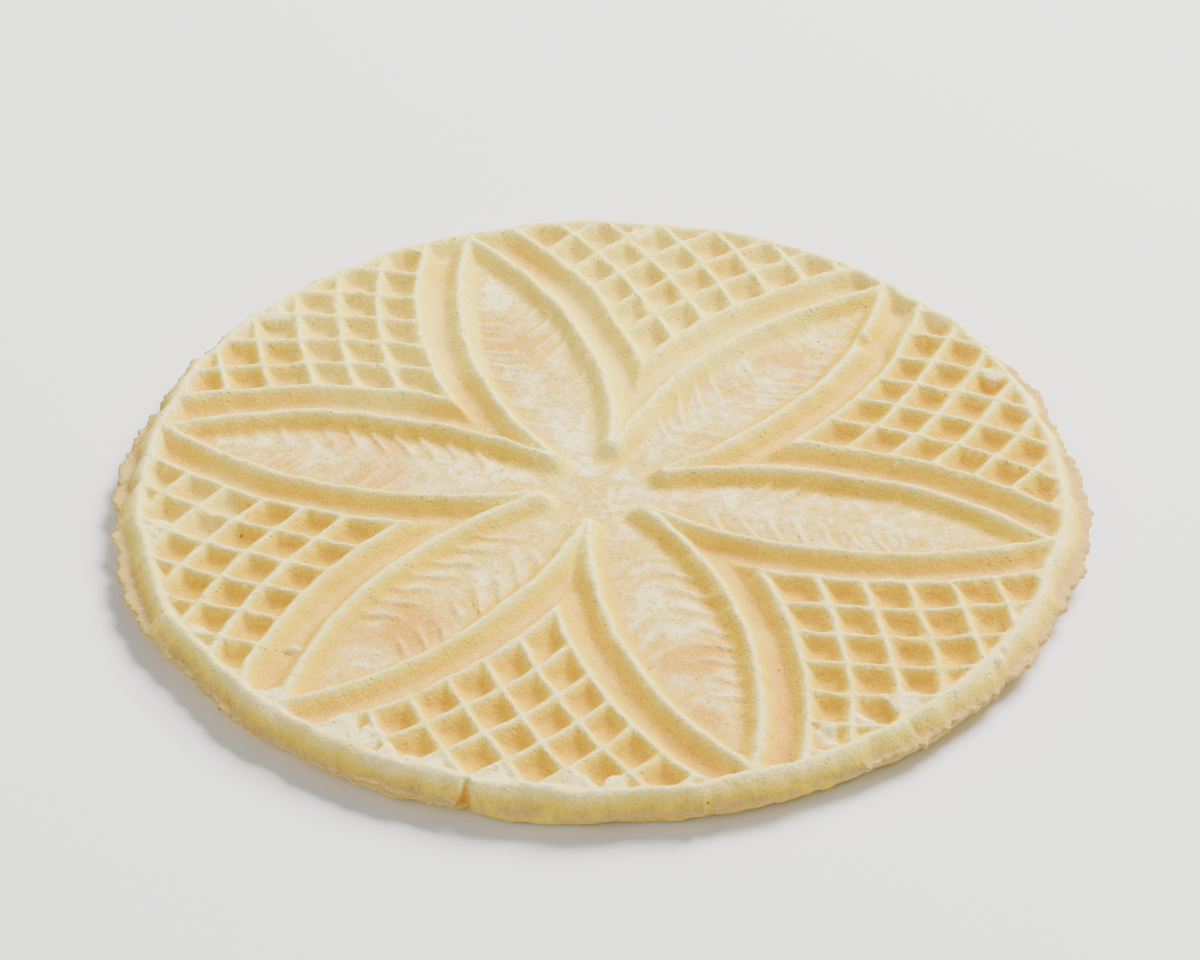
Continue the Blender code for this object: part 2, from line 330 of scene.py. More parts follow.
class Pattern:
    """The flower, the channels, the lattice and the rim as depths below the crests, in mm."""

    def __init__(self, shape, seed):
        self.arc_radius = shape.petal_arc_radius / MM
        self.centre = (shape.petal_arc_x / MM, shape.petal_arc_y / MM)
        self.hub = shape.hub_radius / MM
        self.channel = shape.channel_width / MM
        self.pitch = shape.lattice_pitch / MM
        self.net_radius = shape.lattice_arc_radius / MM
        self.net_start = shape.lattice_start / MM
        self.net_angle = shape.lattice_angle
        self.depth = shape.floor_depth / MM
        self.rim = shape.rim_radius / MM
        self.flash = shape.flash_radius / MM
        self.wrinkle = shape.wrinkle_height / MM
        self.uneven = shape.unevenness
        self.seed = seed

    def folded(self, x, y):
        """Coordinates along and across the nearest petal, with both of its halves on one side."""
        angle = np.arctan2(y, x)
        away = angle - np.round(angle / SECTOR) * SECTOR
        r = np.hypot(x, y)
        return r * np.cos(away), r * np.abs(np.sin(away))

    def lattice_steps(self, u, v):
        """Steps along the two families of curved lattice ridges, and the sine of their crossing angle."""
        c = math.cos(SECTOR / 2)
        s = math.sin(SECTOR / 2)
        x = u * c + v * s
        y = v * c - u * s
        radius = self.net_radius
        start = self.net_angle
        a = np.full_like(x, 20.0)
        b = np.full_like(x, 10.0)
        for _ in range(6):
            ta = start - a / radius
            tb = start - b / radius
            px = self.net_start + radius * (np.cos(ta) + np.cos(tb) - 2 * math.cos(start)) - x
            py = radius * (np.sin(ta) - np.sin(tb)) - y
            ax, ay = np.sin(ta), -np.cos(ta)
            bx, by = np.sin(tb), np.cos(tb)
            cross = np.maximum(ax * by - ay * bx, 0.2)
            a = np.clip(a - (px * by - py * bx) / cross, -40.0, 90.0)
            b = np.clip(b - (ax * py - ay * px) / cross, -40.0, 90.0)
        return a / self.pitch, b / self.pitch, cross

    def ridge(self, distance, crest, slope):
        """Depth beside a ridge line: a rounded crest, then a straight slope."""
        return slope * (np.sqrt(distance**2 + crest**2) - crest)

    def rim_line(self, angle):
        """Distance from the hub to the rim's wavy crest."""
        ex = 60.0 * np.cos(angle)
        ey = 60.0 * np.sin(angle)
        return self.rim + self.uneven * (0.38 * noise(ex, ey, 6.0, self.seed + 7)
                                         + 0.26 * noise(ex, ey, 2.4, self.seed + 8)
                                         + 0.10 * noise(ex, ey, 1.0, self.seed + 9))

    def wandered(self, x, y):
        """Plan positions displaced the way the crests wander."""
        seed = self.seed
        wx = x + self.uneven * (0.22 * noise(x, y, 7.0, seed + 1) + 0.15 * noise(x, y, 2.0, seed + 3)
                                + 0.07 * noise(x, y, 0.9, seed + 15))
        wy = y + self.uneven * (0.22 * noise(x, y, 7.0, seed + 2) + 0.15 * noise(x, y, 2.0, seed + 4)
                                + 0.07 * noise(x, y, 0.9, seed + 16))
        for direction, distance, size, shift in KINKS:
            kx, ky = place(direction, distance)
            push = shift * np.exp(-((x - kx) ** 2 + (y - ky) ** 2) / size**2)
            wx = wx - push * math.sin(math.radians(direction))
            wy = wy + push * math.cos(math.radians(direction))
        return wx, wy

    def wrinkles(self, x, y, u, v):
        """Feathered barbs that leave a petal's middle line towards its tip, and golden colour with a painted shadow on
        one side of each.
        """
        seed = self.seed
        warp = 0.17 * noise(x, y, 8.0, seed + 20) + 0.07 * noise(x, y, 2.5, seed + 21)
        lean = u - 0.25 * v - 0.055 * v**2
        share = lean / 3.6 + warp
        barb = np.exp(-((((share + 0.33) % 1.0 - 0.5) / 0.15) ** 2))
        # Golden colour and painted shadow on one side of each barb; it also dips the surface a little.
        barb_shadow = np.exp(-((((share + 0.06) % 1.0 - 0.5) / 0.17) ** 2))
        patchy = smooth_step(-0.75, 0.05, noise(x, y, 4.5, seed + 22)) * smooth_step(0.5, 2.2, v)
        reach = patchy * smooth_step(11.0, 16.0, u) * smooth_step(52.0, 44.0, u)
        return barb * reach, barb_shadow * reach, lean

    def inner_face(self, x, y):
        """Depth below the crests inside the rim, and the masks that the colours follow."""
        seed = self.seed
        r = np.hypot(x, y)
        angle = np.arctan2(y, x)
        wx, wy = self.wandered(x, y)
        wr = np.hypot(wx, wy)
        u, v = self.folded(wx, wy)
        arc = np.hypot(u - self.centre[0], v - self.centre[1]) - self.arc_radius
        to_rim = self.rim_line(angle) - r

        # long ridges of the petals, the hub and the channels
        in_petal = arc <= 0.0
        in_lattice = arc >= self.channel
        in_channel = ~in_petal & ~in_lattice
        past_end = np.maximum(0.0, self.hub + 0.5 * noise(x, y, 2.5, seed + 24) - wr)
        beside = np.where(in_channel, np.minimum(arc, self.channel - arc), np.abs(arc))
        beside = np.sqrt(beside**2 + (0.85 * past_end) ** 2)
        crest = 0.34 + 0.08 * noise(x, y, 4.0, seed + 5)
        long_ridge = self.ridge(beside, crest, 1.20)

        # lattice
        a, b, cross = self.lattice_steps(u, v)
        to_a = np.abs(a - np.maximum(np.round(a), 1.0)) * self.pitch * cross
        to_b = np.abs(b - np.maximum(np.round(b), 1.0)) * self.pitch * cross
        side = soft_min(soft_min(to_a, to_b, 0.7), np.maximum(arc - self.channel, 0.0), 0.5)
        side = np.maximum(side, 0.0)
        pit = self.ridge(side, 0.18 + 0.07 * noise(x, y, 3.0, seed + 6), 1.26)
        worn = smooth_step(0.30, 0.75, noise(x, y, 4.0, seed + 17)) * in_lattice
        depth = np.where(in_lattice, pit, long_ridge)

        # the rim's crest closes everything off
        inner = self.ridge(np.maximum(to_rim, 0.0), 0.55 + 0.20 * noise(x, y, 3.0, seed + 19), 1.45)
        depth = np.maximum(soft_min(depth, inner, 0.35), 0.0)
        floor = self.depth * np.where(in_lattice, 0.98 + 0.10 * noise(x, y, 6.0, seed + 18), 1.0)
        depth = np.maximum(soft_min(depth, floor, 0.7), 0.0)
        depth = depth + 0.22 * worn * smooth_step(0.5, 0.0, depth)

        # chipped crests
        for direction, distance, size, drop in BREAKS:
            away = away_from(x, y, direction, distance) + 0.3 * noise(x, y, 1.2, seed + 23)
            depth = np.maximum(depth, drop * smooth_step(1.5 * size, 0.5 * size, away))

        # petal floors: domed and wrinkled
        inside = in_petal * smooth_step(0.9, 2.6, -arc) * smooth_step(0.5, 2.5, to_rim)
        far_in = inside * smooth_step(7.0, 14.0, wr)
        barb, barb_shadow, lean = self.wrinkles(x, y, u, v)
        depth = depth - 0.38 * far_in * smooth_step(0.0, 7.0, -arc)
        depth = depth - self.wrinkle * far_in * (barb - 0.25 * barb_shadow)
        depth = depth - 0.07 * inside * layered_noise(x, y, 1.9, seed + 10, 2)

        # unevenness everywhere
        rough = 0.4 + 0.6 * smooth_step(0.55, 0.15, depth) + 0.35 * far_in
        depth = depth + self.uneven * (0.12 * noise(x, y, 9.0, seed + 12)
                                       + 0.06 * noise(x, y, 2.4, seed + 13)
                                       + 0.07 * rough * noise(x, y, 0.95, seed + 14))
        low = smooth_step(0.50, 0.85, depth / self.depth)
        return {
            "depth": depth,
            "petal": in_petal * low * smooth_step(1.5, 3.6, beside),
            "channel": in_channel * low * smooth_step(1.4, 2.8, beside),
            "barb": far_in * barb,
            "barb_shadow": far_in * barb_shadow,
            "lattice": in_lattice,
            "along": u,
            "across": v,
            "lean": lean,
            "to_rim": to_rim,
        }

    def overflow(self, x, y):
        """Rise of the batter lumps that fill pits near the rim."""
        rise = np.zeros_like(x)
        wobble = 0.60 * noise(x, y, 2.0, self.seed + 40) + 0.35 * noise(x, y, 0.9, self.seed + 41)
        for direction, distance, size, height in OVERFLOWS:
            away = away_from(x, y, direction, distance) + wobble
            rise = np.maximum(rise, height * smooth_step(size * 1.3, size * 0.45, away))
        return rise

    def crumbs(self, x, y):
        """Height of the loose crumbs that lie on the face."""
        rise = np.zeros_like(x)
        wobble = 0.25 * noise(x, y, 0.6, self.seed + 45)
        for direction, distance, size in CRUMBS:
            away = away_from(x, y, direction, distance) + wobble
            rise = np.maximum(rise, 0.9 * size * smooth_step(size, size * 0.55, away))
        return rise

    def torn_reach(self, angle):
        """Distance from the hub to the torn edge of the flash."""
        ex = 64.0 * np.cos(angle)
        ey = 64.0 * np.sin(angle)
        reach = np.full_like(angle, self.flash)
        for direction, spread, extra in FLASH_TONGUES:
            reach += extra * np.exp(-((angle_off(angle, direction) / spread) ** 2))
        reach += self.uneven * (0.45 * noise(ex, ey, 8.0, self.seed + 50)
                                + 0.40 * noise(ex, ey, 2.8, self.seed + 51)
                                + 0.36 * noise(ex, ey, 1.2, self.seed + 52)
                                + 0.30 * noise(ex, ey, 0.6, self.seed + 54))
        from_tear = angle_off(angle, TEAR_DIRECTION)
        reach += 0.5 * smooth_step(-24.0, -16.0, from_tear) * (from_tear < 0)
        step = angle_off(angle, STEP_DIRECTION)
        reach += 1.1 * smooth_step(-0.25, 0.25, step) * smooth_step(9.0, 0.5, step)
        tear = np.abs(from_tear + 0.25 * noise(ex, ey, 1.0, self.seed + 53))
        reach -= 2.0 * smooth_step(1.2, 0.1, tear)
        return reach

    def outer_edge(self, x, y):
        """Depth of the shoulder and of the flash outside the rim's crest, and where they are cracked."""
        angle = np.arctan2(y, x)
        r = np.hypot(x, y)
        out = np.maximum(r - self.rim_line(angle), 0.0)
        steep = 1.45 + 0.35 * noise(x, y, 6.0, self.seed + 62) + 0.15 * noise(x, y, 2.5, self.seed + 64)
        shoulder = self.ridge(out, 0.75, steep)
        shoulder = shoulder + smooth_step(0.2, 1.6, out) * (0.30 * noise(x, y, 1.9, self.seed + 66)
                                                            + 0.08 * noise(x, y, 0.85, self.seed + 67))
        flash = MIDDLE - 0.36 + 0.16 * noise(x, y, 2.5, self.seed + 60) + 0.14 * noise(x, y, 0.9, self.seed + 68)
        depth = soft_min(shoulder, flash, 0.35)
        tear = np.abs(angle_off(angle, TEAR_DIRECTION)) * math.radians(1) * r
        crack = 2.0 * smooth_step(0.7, 0.1, tear + 0.3 * noise(x, y, 1.0, self.seed + 61))
        step = np.abs(angle_off(angle, STEP_DIRECTION) * math.radians(1) * r - 0.5 * (r - 62.0))
        crack = np.maximum(crack, 0.5 * smooth_step(0.6, 0.1, step + 0.2 * noise(x, y, 1.0, self.seed + 63)))
        crack = crack * smooth_step(self.rim - 0.3, self.rim + 1.5, r) * smooth_step(2.5, 1.6, depth)
        rough = 0.07 * noise(x, y, 2.4, self.seed + 13) + 0.05 * noise(x, y, 0.95, self.seed + 14)
        return depth + crack + rough, smooth_step(0.2, 1.2, crack)

    def surface(self, x, y):
        """Depth of the whole face, and the masks."""
        masks = self.inner_face(x, y)
        depth = np.maximum(masks["depth"], -0.45)
        filled = np.maximum(depth - self.overflow(x, y), 0.25 + 0.30 * noise(x, y, 1.5, self.seed + 42)
                            + 0.12 * noise(x, y, 0.8, self.seed + 43))
        depth = np.minimum(depth, filled)
        outside, crack = self.outer_edge(x, y)
        blend = smooth_step(-0.25, 0.25, -masks["to_rim"])
        crumbs = self.crumbs(x, y)
        masks["depth"] = depth * (1 - blend) + outside * blend - crumbs
        masks["crumb"] = smooth_step(0.0, 0.25, crumbs)
        lumps = smooth_step(0.3, 1.0, self.overflow(x, y)) * (1 - blend)
        spots = smooth_step(-0.1, 0.5, layered_noise(x, y, 4.0, self.seed + 65, 3))
        spots = spots * smooth_step(2.0, 0.6, np.abs(masks["to_rim"]))
        whitest = np.abs(angle_off(np.arctan2(y, x), WHITE_RIM_DIRECTION))
        spots = spots * (0.35 + 0.45 * smooth_step(22.0, 8.0, whitest))
        masks["whitened"] = np.maximum(masks["crumb"], np.maximum(0.9 * lumps, spots))
        for name in ("petal", "channel", "lattice", "barb", "barb_shadow"):
            masks[name] = masks[name] * (1 - blend)
        masks["flash"] = blend * smooth_step(1.7, 2.3, outside)
        masks["crack"] = blend * crack
        return masks


# ---------------------------------------------------------------- the cookie's mesh

def ring_triangles(rings):
    """Triangles between rings of 0, 6, 12, 18... points, numbered from the middle outwards."""
    first = [0] + [1 + 3 * k * (k - 1) for k in range(1, rings + 1)]
    faces = []
    for k in range(1, rings + 1):
        outer_count = PETALS * k
        inner_count = max(1, PETALS * (k - 1))
        sextant = np.repeat(np.arange(PETALS), k)
        step = np.tile(np.arange(k), PETALS)
        outer = sextant * k + step
        inner = sextant * (k - 1) + step
        inner_first = first[k - 1] if k > 1 else 0
        faces.append(np.stack([
            first[k] + outer,
            first[k] + (outer + 1) % outer_count,
            inner_first + inner % inner_count], axis=1))
        keep = step < k - 1
        faces.append(np.stack([
            inner_first + inner[keep] % inner_count,
            first[k] + (outer[keep] + 1) % outer_count,
            inner_first + (inner[keep] + 1) % inner_count], axis=1))
    return np.concatenate(faces)


def ring_points(rings, pattern):
    """Plan positions of the rings. The last ones follow the torn edge."""
    radii = [np.zeros(1)]
    angles = [np.zeros(1)]
    for k in range(1, rings + 1):
        count = PETALS * k
        radii.append(np.full(count, k / rings))
        angles.append(np.arange(count) * 2 * math.pi / count)
    share = np.concatenate(radii)
    angle = np.concatenate(angles)
    plain = share * pattern.flash
    settled = pattern.rim - 1.0
    stretch = np.clip((plain - settled) / (pattern.flash - settled), 0.0, 1.0)
    reach = pattern.torn_reach(angle)
    r = np.where(plain > settled, settled + stretch * (reach - settled), plain)
    return r * np.cos(angle), r * np.sin(angle)


def cookie_geometry(shape):
    """Points and triangles of both faces, joined round the torn edge, in mm with z from the middle plane."""
    top = Pattern(shape, shape.seed)
    under = Pattern(shape, shape.seed + UNDERSIDE_SEED)
    rings = shape.ring_count
    x, y = ring_points(rings, top)
    faces = ring_triangles(rings)
    upper = MIDDLE - top.surface(x, y)["depth"]
    lower = -(MIDDLE - under.surface(x, y)["depth"])
    lower = np.maximum(lower, CLEARANCE - MIDDLE)
    edge_count = PETALS * rings
    edge = np.arange(len(x) - edge_count, len(x))
    upper[edge] = np.maximum(upper[edge] * 0.6, 0.10)
    lower[edge] = np.minimum(lower[edge] * 0.6, -0.10)
    points = np.concatenate([np.stack([x, y, upper], 1), np.stack([x, y, lower], 1)])
    under_faces = faces[:, ::-1] + len(x)
    after = np.roll(edge, -1)
    low = edge + len(x)
    low_after = after + len(x)
    side = np.concatenate([np.stack([edge, low, low_after], 1), np.stack([edge, low_after, after], 1)])
    return points, np.concatenate([faces, under_faces, side])


def mesh_from(name, points, triangles):
    """A smooth-shaded mesh object from points in metres and triangles."""
    mesh = bpy.data.meshes.new(name)
    mesh.vertices.add(len(points))
    mesh.vertices.foreach_set("co", points.astype(np.float32).ravel())
    mesh.loops.add(len(triangles) * 3)
    mesh.loops.foreach_set("vertex_index", triangles.astype(np.int32).ravel())
    mesh.polygons.add(len(triangles))
    mesh.polygons.foreach_set("loop_start", np.arange(0, len(triangles) * 3, 3, dtype=np.int32))
    mesh.update(calc_edges=True)
    mesh.shade_smooth()
    piece = bpy.data.objects.new(name, mesh)
    bpy.context.scene.collection.objects.link(piece)
    return piece


def thinned_out(piece, triangle_limit):
    """Removes triangles where the surface is flattest, down to the limit."""
    count = len(piece.data.polygons)
    if count <= triangle_limit:
        return
    modifier = piece.modifiers.new("Thin out", "DECIMATE")
    modifier.ratio = triangle_limit / count
    graph = bpy.context.evaluated_depsgraph_get()
    mesh = bpy.data.meshes.new_from_object(piece.evaluated_get(graph))
    piece.modifiers.clear()
    old = piece.data
    piece.data = mesh
    mesh.name = old.name
    bpy.data.meshes.remove(old)
    mesh.shade_smooth()


def point_array(mesh):
    co = np.zeros(len(mesh.vertices) * 3, np.float32)
    mesh.vertices.foreach_get("co", co)
    return co.reshape(-1, 3).astype(float)


def set_mask(mesh, name, values):
    layer = mesh.attributes.new(name, "FLOAT", "POINT")
    layer.data.foreach_set("value", values.astype(np.float32))


def paint_masks(piece, shape):
    """Stores, at each point, what its colour follows, from its depth to how toasted it is."""
    mesh = piece.data
    points = point_array(mesh) / MM
    x = points[:, 0]
    y = points[:, 1]
    above = points[:, 2] > MIDDLE
    values = {}
    for seed, chosen in ((shape.seed, above), (shape.seed + UNDERSIDE_SEED, ~above)):
        pattern = Pattern(shape, seed)
        px = x[chosen]
        py = y[chosen]
        masks = pattern.surface(px, py)
        along = masks["along"]
        warm_side = 0.5 + 0.5 * np.cos(np.arctan2(py, px) - WARM_DIRECTION) * smooth_step(0.0, 40.0, np.hypot(px, py))
        tint = np.clip(warm_side + 0.45 * layered_noise(px, py, 16.0, seed + 71, 3), 0.0, 1.0)
        patch = layered_noise(px, py, 3.2, seed + 70, 3)
        toasted = np.zeros_like(px)
        for direction, distance, size, strength in TOASTED:
            away = away_from(px, py, direction, distance)
            toasted = np.maximum(toasted, strength * smooth_step(1.20, 0.40, away / (1.1 * size) + 0.26 * patch))
        streak_x = 2.4 * masks["lean"] + HALF_PETAL_SHIFT * np.sign(py)
        streaks = (0.55 * layered_noise(streak_x, 0.7 * masks["across"], 2.4, seed + 72, 3)
                   + 0.75 * layered_noise(px, py, 7.0, seed + 73, 2))
        petal_toast = masks["petal"] * toasted * (1 - 0.55 * masks["barb"])
        foot = smooth_step(0.70, 1.0, masks["depth"] / pattern.depth) * (1 - masks["petal"]) * (1 - masks["channel"])
        channel_toast = 0.25 * foot * smooth_step(0.3, 0.8, tint) * smooth_step(-0.4, 0.5, patch)
        channel_toast *= smooth_step(0.6, 0.0, -masks["to_rim"])
        channel_toast += masks["channel"] * np.maximum(toasted, 0.12 + 0.15 * patch) * smooth_step(12.0, 30.0, along)
        # Depth that the colours follow: golden down the slopes and into the pits, partly baked colour and partly
        # painted shade in the hollows. It is weakened outside the rim's crest and near the hub, so that these stay
        # paler.
        hollow = np.clip(masks["depth"] / pattern.depth * (1 + 0.5 * masks["lattice"]), 0.0, 1.2)
        hollow *= 1 - 0.42 * smooth_step(0.0, -0.8, masks["to_rim"])
        hollow *= 1 - 0.5 * smooth_step(pattern.hub + 4.0, pattern.hub - 1.0, np.hypot(px, py))
        for name, value in (
            ("hollow", hollow),
            ("whitened", masks["whitened"]),
            ("floor", np.clip(masks["petal"] + 0.28 * masks["channel"], 0.0, 1.0)),
            ("barb", masks["barb"]),
            ("barb_shadow", masks["barb_shadow"]),
            ("toast", np.clip(petal_toast + channel_toast + masks["crack"], 0.0, 1.0)),
            ("bleached", smooth_step(-0.35, 0.60, streaks) * (1 - 0.8 * toasted)),
            ("flash", masks["flash"]),
            ("tint", tint),
        ):
            values.setdefault(name, np.zeros(len(x)))[chosen] = value
    for name, value in values.items():
        set_mask(mesh, name, value)


# ---------------------------------------------------------------- materials

def new_material(name):
    material = bpy.data.materials.new(name)
    material.use_nodes = True
    return material, material.node_tree


def node(tree, kind, label, **settings):
    made = tree.nodes.new(kind)
    made.label = label
    for key, value in settings.items():
        setattr(made, key, value)
    return made


def mask_of(tree, name):
    made = node(tree, "ShaderNodeAttribute", name.capitalize(), attribute_name=name)
    return made.outputs["Fac"]


def remapped(tree, value, low, high, label):
    made = node(tree, "ShaderNodeMapRange", label, interpolation_type="SMOOTHSTEP")
    tree.links.new(value, made.inputs["Value"])
    made.inputs["From Min"].default_value = low
    made.inputs["From Max"].default_value = high
    return made.outputs["Result"]


def multiplied(tree, a, b, label):
    made = node(tree, "ShaderNodeMath", label, operation="MULTIPLY")
    tree.links.new(a, made.inputs[0])
    if isinstance(b, float):
        made.inputs[1].default_value = b
    else:
        tree.links.new(b, made.inputs[1])
    return made.outputs[0]


def mixed(tree, amount, first, second, label, blend="MIX"):
    made = node(tree, "ShaderNodeMix", label, data_type="RGBA", blend_type=blend)
    if isinstance(amount, float):
        made.inputs["Factor"].default_value = amount
    else:
        tree.links.new(amount, made.inputs["Factor"])
    for socket, value in ((made.inputs[6], first), (made.inputs[7], second)):
        if isinstance(value, bpy.types.NodeSocket):
            tree.links.new(value, socket)
        else:
            socket.default_value = (*value, 1.0)
    return made.outputs[2]


def noise_value(tree, where, scale, detail, label, roughness=0.5):
    made = node(tree, "ShaderNodeTexNoise", label)
    tree.links.new(where, made.inputs["Vector"])
    made.inputs["Scale"].default_value = scale
    made.inputs["Detail"].default_value = detail
    made.inputs["Roughness"].default_value = roughness
    return made.outputs["Fac"]


def baked_crumb_group():
    """Grain, pores and specks of baked batter."""
    group = bpy.data.node_groups.new("Baked crumb", "ShaderNodeTree")
    face = group.interface
    face.new_socket("Grain Size", in_out="INPUT", socket_type="NodeSocketFloat")
    for output in ("Mottle", "Grains", "Sugar", "Blush", "Pores", "Specks", "Relief"):
        face.new_socket(output, in_out="OUTPUT", socket_type="NodeSocketFloat")
    inputs = node(group, "NodeGroupInput", "Inputs")
    outputs = node(group, "NodeGroupOutput", "Outputs")
    where = node(group, "ShaderNodeTexCoord", "Place").outputs["Object"]
    scaled = node(group, "ShaderNodeVectorMath", "Grain scale", operation="SCALE")
    group.links.new(where, scaled.inputs[0])
    group.links.new(inputs.outputs["Grain Size"], scaled.inputs["Scale"])
    vector = scaled.outputs[0]
    mottle = noise_value(group, vector, 620.0, 5.0, "Mottle", 0.68)
    grain = noise_value(group, vector, 2600.0, 3.0, "Fine grain")
    coarse = noise_value(group, vector, 1700.0, 2.0, "Coarse grain")
    pores = node(group, "ShaderNodeTexVoronoi", "Pore cells", feature="F1")
    group.links.new(vector, pores.inputs["Vector"])
    pores.inputs["Scale"].default_value = 780.0
    pore_spot = remapped(group, pores.outputs["Distance"], 0.26, 0.10, "Pore spot")
    pore_some = remapped(group, noise_value(group, vector, 500.0, 1.0, "Pore places"), 0.50, 0.62, "Some pores")
    specks = node(group, "ShaderNodeTexVoronoi", "Speck cells", feature="F1")
    group.links.new(vector, specks.inputs["Vector"])
    specks.inputs["Scale"].default_value = 120.0
    speck_spot = remapped(group, specks.outputs["Distance"], 0.036, 0.020, "Speck spot")
    pore = multiplied(group, pore_spot, pore_some, "Pores")
    lumps = node(group, "ShaderNodeMath", "Lumps", operation="ADD")
    group.links.new(grain, lumps.inputs[0])
    group.links.new(multiplied(group, coarse, 0.5, "Half coarse"), lumps.inputs[1])
    puffy = node(group, "ShaderNodeMath", "Puffy", operation="MULTIPLY_ADD")
    group.links.new(mottle, puffy.inputs[0])
    puffy.inputs[1].default_value = 1.1
    group.links.new(lumps.outputs[0], puffy.inputs[2])
    relief = node(group, "ShaderNodeMath", "Pitted", operation="SUBTRACT")
    group.links.new(puffy.outputs[0], relief.inputs[0])
    group.links.new(pore, relief.inputs[1])
    group.links.new(remapped(group, mottle, 0.42, 0.58, "Mottle contrast"), outputs.inputs["Mottle"])
    group.links.new(remapped(group, grain, 0.30, 0.62, "Grain contrast"), outputs.inputs["Grains"])
    group.links.new(remapped(group, coarse, 0.52, 0.68, "Sugar contrast"), outputs.inputs["Sugar"])
    blush = noise_value(group, vector, 900.0, 3.0, "Blush")
    group.links.new(remapped(group, blush, 0.50, 0.66, "Blush contrast"), outputs.inputs["Blush"])
    group.links.new(pore, outputs.inputs["Pores"])
    group.links.new(speck_spot, outputs.inputs["Specks"])
    group.links.new(relief.outputs[0], outputs.inputs["Relief"])
    return group


def placed_group(tree, grain_size):
    made = node(tree, "ShaderNodeGroup", "Baked crumb")
    made.node_tree = baked_crumb_group()
    made.inputs["Grain Size"].default_value = grain_size
    return made


def wafer_material(colours):
    """Matt baked batter: pale crests and floors, golden slopes and pits partly darkened as painted shade, crest tops
    partly whitened as a painted highlight, a painted shadow beside each barb, pinkish toasted patches.
    """
    material, tree = new_material(COOKIE_MATERIAL)
    shader = tree.nodes["Principled BSDF"]
    crumb = placed_group(tree, 1.0)
    hollow = mask_of(tree, "hollow")
    floor = mask_of(tree, "floor")
    # Partly painted shade: golden down the slopes and deeper golden at the bottoms of the pits, as baked colour and as
    # shade in the hollows.
    golden = remapped(tree, hollow, -0.05, 0.56, "Down the slope")
    colour = mixed(tree, golden, colours.crest, colours.slope, "Crest to slope")
    pit_gold_and_shade = remapped(tree, hollow, 0.50, 1.0, "Bottom of the pit")
    colour = mixed(tree, pit_gold_and_shade, colour, colours.pit, "Slope to pit")
    bleached = mask_of(tree, "bleached")
    whiter = remapped(tree, bleached, -0.5, 1.05, "Where bleached")
    pale = mixed(tree, multiplied(tree, crumb.outputs["Mottle"], whiter, "Bleached mottle"), colours.floor,
                 colours.white, "Mottled floor")
    pale = mixed(tree, multiplied(tree, bleached, 0.30, "Bleached strength"), pale, colours.white, "Bleached floor")
    # Golden colour and a painted shadow on one side of each barb.
    pale = mixed(tree, multiplied(tree, mask_of(tree, "barb_shadow"), 0.90, "Golden lee"), pale, colours.pit, "Painted barb shadow")
    pale = mixed(tree, multiplied(tree, mask_of(tree, "barb"), 0.55, "White barb"), pale, colours.white, "Barb")
    pink = multiplied(tree, crumb.outputs["Blush"], 0.16, "Pinkish grains")
    pale = mixed(tree, pink, pale, colours.toast, "Blushed floor")
    sugar = multiplied(tree, crumb.outputs["Sugar"], 0.36, "White grains")
    pale = mixed(tree, sugar, pale, colours.white, "Sugary floor")
    colour = mixed(tree, floor, colour, pale, "Floors")
    # Partly painted highlight: the very tops of the crests are whitened in broken grains, as pale dry batter and as
    # light catching the crests.
    top = remapped(tree, hollow, 0.16, 0.0, "Very top")
    top = multiplied(tree, top, remapped(tree, crumb.outputs["Mottle"], 0.1, 0.9, "Broken line"), "Granular top")
    top = multiplied(tree, top, 0.85, "White top strength")
    colour = mixed(tree, top, colour, colours.white, "White top")
    white = multiplied(tree, mask_of(tree, "whitened"), 0.75, "Overflow strength")
    colour = mixed(tree, white, colour, colours.white, "Overflowed batter")
    torn = multiplied(tree, mask_of(tree, "flash"), 0.9, "Flash strength")
    colour = mixed(tree, torn, colour, colours.flash, "Torn flash")
    toast = multiplied(tree, mask_of(tree, "toast"), 0.95, "Toast strength")
    between = remapped(tree, crumb.outputs["Sugar"], 2.4, 0.0, "Between white grains")
    toast = multiplied(tree, toast, between, "Toast between grains")
    colour = mixed(tree, toast, colour, colours.toast, "Toasted")
    warmth = multiplied(tree, mask_of(tree, "tint"), 0.16, "Tint strength")
    colour = mixed(tree, warmth, colour, colours.toast, "Warmer side")
    cool = multiplied(tree, remapped(tree, mask_of(tree, "tint"), 0.45, 0.0, "Paler side"),
                      remapped(tree, floor, 0.8, 0.1, "Off the floors"), "Paler ridges")
    colour = mixed(tree, multiplied(tree, cool, 0.45, "Paler strength"), colour, colours.crest, "Less baked")
    grains = mixed(tree, crumb.outputs["Grains"], (0.72, 0.62, 0.46), (1.0, 1.0, 1.0), "Grain tint")
    colour = mixed(tree, 0.5, colour, grains, "Grained", "MULTIPLY")
    colour = mixed(tree, multiplied(tree, crumb.outputs["Pores"], 0.45, "Faint pores"), colour, colours.toast, "Pores")
    colour = mixed(tree, crumb.outputs["Specks"], colour, colours.speck, "Specks")
    tree.links.new(colour, shader.inputs["Base Color"])
    rough = node(tree, "ShaderNodeMapRange", "Dry to satin")
    tree.links.new(crumb.outputs["Mottle"], rough.inputs["Value"])
    rough.inputs["To Min"].default_value = 0.62
    rough.inputs["To Max"].default_value = 0.82
    tree.links.new(rough.outputs["Result"], shader.inputs["Roughness"])
    bump = node(tree, "ShaderNodeBump", "Grain")
    bump.inputs["Distance"].default_value = 0.00015
    bump.inputs["Strength"].default_value = 0.8
    tree.links.new(crumb.outputs["Relief"], bump.inputs["Height"])
    tree.links.new(bump.outputs["Normal"], shader.inputs["Normal"])
    shader.inputs["Specular IOR Level"].default_value = 0.10
    shader.inputs["Subsurface Weight"].default_value = 0.12
    shader.inputs["Subsurface Radius"].default_value = (1.0, 0.6, 0.25)
    shader.inputs["Subsurface Scale"].default_value = 0.0008
    return material


